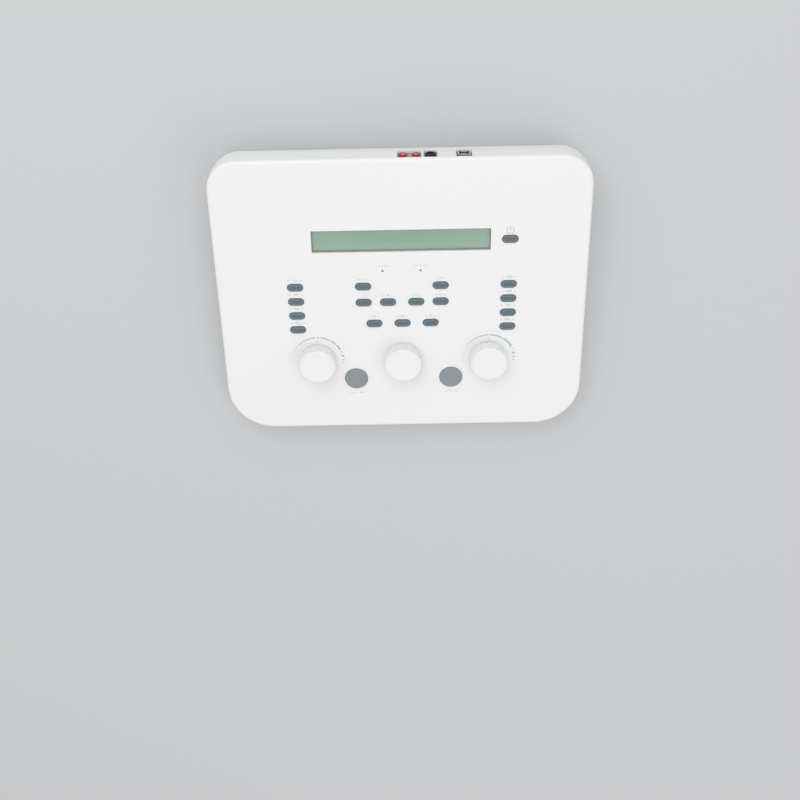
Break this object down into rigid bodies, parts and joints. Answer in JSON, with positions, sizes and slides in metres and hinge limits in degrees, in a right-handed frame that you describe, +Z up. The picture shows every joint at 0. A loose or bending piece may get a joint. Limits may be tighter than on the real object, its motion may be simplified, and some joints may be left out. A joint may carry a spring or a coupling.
{
  "type": "audiometer",
  "caption": "Desktop hearing-test console: wedge-shaped white housing with a narrow display, slot-shaped and round keys, fluted dials and a row of rear sockets.",
  "frame": {"origin": "centre of the footprint on the resting plane", "axes": "+X along the width, +Y towards the rear, +Z up"},
  "size_m": [0.365, 0.2953, 0.0611],
  "materials": {
    "slate_key": "dark slate, soft satin",
    "white_housing": "satin moulded, fine grain",
    "black_plastic": "black, fine texture",
    "board_green": "green circuit board",
    "bright_metal": "plated",
    "white_dial": "satin moulded",
    "clear_glass": "clear window",
    "display_green": "grey-green display",
    "foot_rubber": "black, matt",
    "red_plastic": "red",
    "lamp_lens": "dark lens, unlit",
    "slate_round_key": "slate grey, satin",
    "ribbon_grey": "grey"
  },
  "bodies": {
    "console": {"bottom_cover": "white_housing", "connector_panel": "black_plastic", "control_board": "board_green", "cover_screw_front_left": "bright_metal", "cover_screw_front_right": "bright_metal", "cover_screw_rear_left": "bright_metal", "cover_screw_rear_right": "bright_metal", "display_bezel": "black_plastic", "display_board": "board_green", "display_glass": "clear_glass", "display_panel": "display_green", "encoder_center": "bright_metal", "encoder_left": "bright_metal", "encoder_right": "bright_metal", "foot_front_left": "foot_rubber", "foot_front_right": "foot_rubber", "foot_rear_left": "foot_rubber", "foot_rear_right": "foot_rubber", "jack_left": "red_plastic", "jack_right": "red_plastic", "lamp_left": "lamp_lens", "lamp_right": "lamp_lens", "main_board": "board_green", "power_inlet": "black_plastic", "ribbon_cable": "ribbon_grey", "top_cover": "white_housing", "usb_socket": "bright_metal"},
    "power_key": {"power_key": "slate_key"},
    "ear_left_key": {"ear_left_key": "slate_key"},
    "ear_right_key": {"ear_right_key": "slate_key"},
    "pulse_key": {"pulse_key": "slate_key"},
    "lock_key": {"lock_key": "slate_key"},
    "reverse_key": {"reverse_key": "slate_key"},
    "store_key": {"store_key": "slate_key"},
    "air_key": {"air_key": "slate_key"},
    "bone_key": {"bone_key": "slate_key"},
    "field_key": {"field_key": "slate_key"},
    "left_side_key_1": {"left_side_key_1": "slate_key"},
    "right_side_key_1": {"right_side_key_1": "slate_key"},
    "left_side_key_2": {"left_side_key_2": "slate_key"},
    "right_side_key_2": {"right_side_key_2": "slate_key"},
    "left_side_key_3": {"left_side_key_3": "slate_key"},
    "right_side_key_3": {"right_side_key_3": "slate_key"},
    "left_side_key_4": {"left_side_key_4": "slate_key"},
    "right_side_key_4": {"right_side_key_4": "slate_key"},
    "present_key": {"present_key": "slate_round_key"},
    "talk_key": {"talk_key": "slate_round_key"},
    "left_dial": {"dial_left": "white_dial", "dial_shaft_left": "bright_metal"},
    "center_dial": {"dial_center": "white_dial", "dial_shaft_center": "bright_metal"},
    "right_dial": {"dial_right": "white_dial", "dial_shaft_right": "bright_metal"}
  },
  "joints": [
    {"name": "power_key_press", "type": "slide", "parent": "console", "child": "power_key", "axis": [0, 0.1045, -0.9945], "range_m": [0, 0.001], "stiffness_N_per_m": 500, "springref_m": -0.0005},
    {"name": "ear_left_key_press", "type": "slide", "parent": "console", "child": "ear_left_key", "axis": [0, 0.1045, -0.9945], "range_m": [0, 0.001], "stiffness_N_per_m": 500, "springref_m": -0.0005},
    {"name": "ear_right_key_press", "type": "slide", "parent": "console", "child": "ear_right_key", "axis": [0, 0.1045, -0.9945], "range_m": [0, 0.001], "stiffness_N_per_m": 500, "springref_m": -0.0005},
    {"name": "pulse_key_press", "type": "slide", "parent": "console", "child": "pulse_key", "axis": [0, 0.1045, -0.9945], "range_m": [0, 0.001], "stiffness_N_per_m": 500, "springref_m": -0.0005},
    {"name": "lock_key_press", "type": "slide", "parent": "console", "child": "lock_key", "axis": [0, 0.1045, -0.9945], "range_m": [0, 0.001], "stiffness_N_per_m": 500, "springref_m": -0.0005},
    {"name": "reverse_key_press", "type": "slide", "parent": "console", "child": "reverse_key", "axis": [0, 0.1045, -0.9945], "range_m": [0, 0.001], "stiffness_N_per_m": 500, "springref_m": -0.0005},
    {"name": "store_key_press", "type": "slide", "parent": "console", "child": "store_key", "axis": [0, 0.1045, -0.9945], "range_m": [0, 0.001], "stiffness_N_per_m": 500, "springref_m": -0.0005},
    {"name": "air_key_press", "type": "slide", "parent": "console", "child": "air_key", "axis": [0, 0.1045, -0.9945], "range_m": [0, 0.001], "stiffness_N_per_m": 500, "springref_m": -0.0005},
    {"name": "bone_key_press", "type": "slide", "parent": "console", "child": "bone_key", "axis": [0, 0.1045, -0.9945], "range_m": [0, 0.001], "stiffness_N_per_m": 500, "springref_m": -0.0005},
    {"name": "field_key_press", "type": "slide", "parent": "console", "child": "field_key", "axis": [0, 0.1045, -0.9945], "range_m": [0, 0.001], "stiffness_N_per_m": 500, "springref_m": -0.0005},
    {"name": "left_side_key_1_press", "type": "slide", "parent": "console", "child": "left_side_key_1", "axis": [0, 0.1045, -0.9945], "range_m": [0, 0.001], "stiffness_N_per_m": 500, "springref_m": -0.0005},
    {"name": "right_side_key_1_press", "type": "slide", "parent": "console", "child": "right_side_key_1", "axis": [0, 0.1045, -0.9945], "range_m": [0, 0.001], "stiffness_N_per_m": 500, "springref_m": -0.0005},
    {"name": "left_side_key_2_press", "type": "slide", "parent": "console", "child": "left_side_key_2", "axis": [0, 0.1045, -0.9945], "range_m": [0, 0.001], "stiffness_N_per_m": 500, "springref_m": -0.0005},
    {"name": "right_side_key_2_press", "type": "slide", "parent": "console", "child": "right_side_key_2", "axis": [0, 0.1045, -0.9945], "range_m": [0, 0.001], "stiffness_N_per_m": 500, "springref_m": -0.0005},
    {"name": "left_side_key_3_press", "type": "slide", "parent": "console", "child": "left_side_key_3", "axis": [0, 0.1045, -0.9945], "range_m": [0, 0.001], "stiffness_N_per_m": 500, "springref_m": -0.0005},
    {"name": "right_side_key_3_press", "type": "slide", "parent": "console", "child": "right_side_key_3", "axis": [0, 0.1045, -0.9945], "range_m": [0, 0.001], "stiffness_N_per_m": 500, "springref_m": -0.0005},
    {"name": "left_side_key_4_press", "type": "slide", "parent": "console", "child": "left_side_key_4", "axis": [0, 0.1045, -0.9945], "range_m": [0, 0.001], "stiffness_N_per_m": 500, "springref_m": -0.0005},
    {"name": "right_side_key_4_press", "type": "slide", "parent": "console", "child": "right_side_key_4", "axis": [0, 0.1045, -0.9945], "range_m": [0, 0.001], "stiffness_N_per_m": 500, "springref_m": -0.0005},
    {"name": "present_key_press", "type": "slide", "parent": "console", "child": "present_key", "axis": [0, 0.1045, -0.9945], "range_m": [0, 0.001], "stiffness_N_per_m": 500, "springref_m": -0.0005},
    {"name": "talk_key_press", "type": "slide", "parent": "console", "child": "talk_key", "axis": [0, 0.1045, -0.9945], "range_m": [0, 0.001], "stiffness_N_per_m": 500, "springref_m": -0.0005},
    {"name": "left_dial_turn", "type": "hinge", "parent": "console", "child": "left_dial", "pos_m": [-0.0869, -0.06665, 0.03912], "axis": [0, -0.1045, 0.9945], "continuous": true},
    {"name": "center_dial_turn", "type": "hinge", "parent": "console", "child": "center_dial", "pos_m": [0, -0.06665, 0.03912], "axis": [0, -0.1045, 0.9945], "continuous": true},
    {"name": "right_dial_turn", "type": "hinge", "parent": "console", "child": "right_dial", "pos_m": [0.0869, -0.06665, 0.03912], "axis": [0, -0.1045, 0.9945], "continuous": true}
  ]
}
